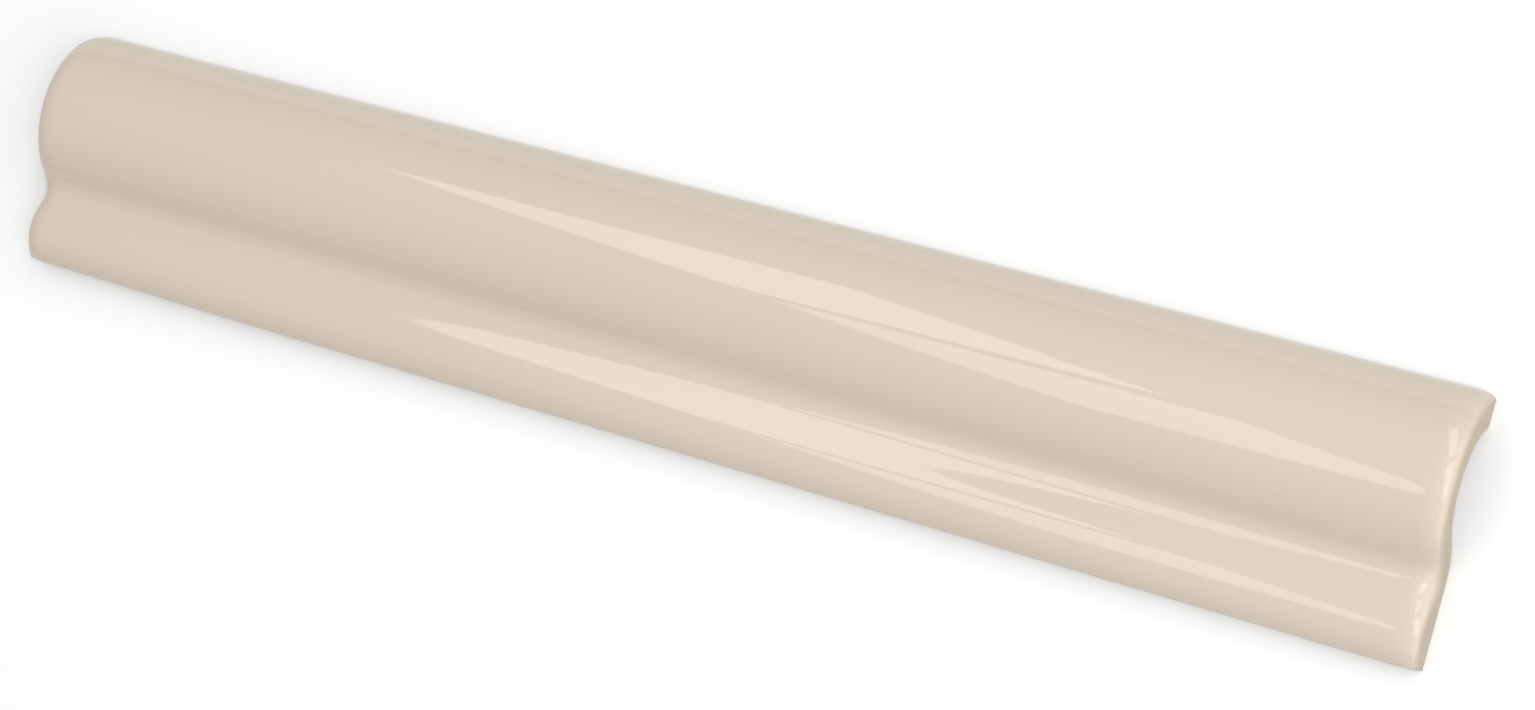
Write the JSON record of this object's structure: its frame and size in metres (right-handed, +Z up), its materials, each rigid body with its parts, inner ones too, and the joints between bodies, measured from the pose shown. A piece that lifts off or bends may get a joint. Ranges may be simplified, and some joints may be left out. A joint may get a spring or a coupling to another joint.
{
  "type": "ceramic trim tile",
  "caption": "Long glazed ceramic wall trim tile with a large half-round bullnose, a cove and a small bead along its front, and a hollow back.",
  "frame": {"origin": "centre of the footprint, on the plane of the flat back", "axes": "the tile lies on its back: +X along its length, +Y across it from the bead to the bullnose, +Z up, out of the moulded front"},
  "size_m": [0.3, 0.049, 0.0143],
  "materials": {
    "glaze": "gloss"
  },
  "bodies": {
    "root": {"trim_tile": "glaze"}
  },
  "joints": []
}
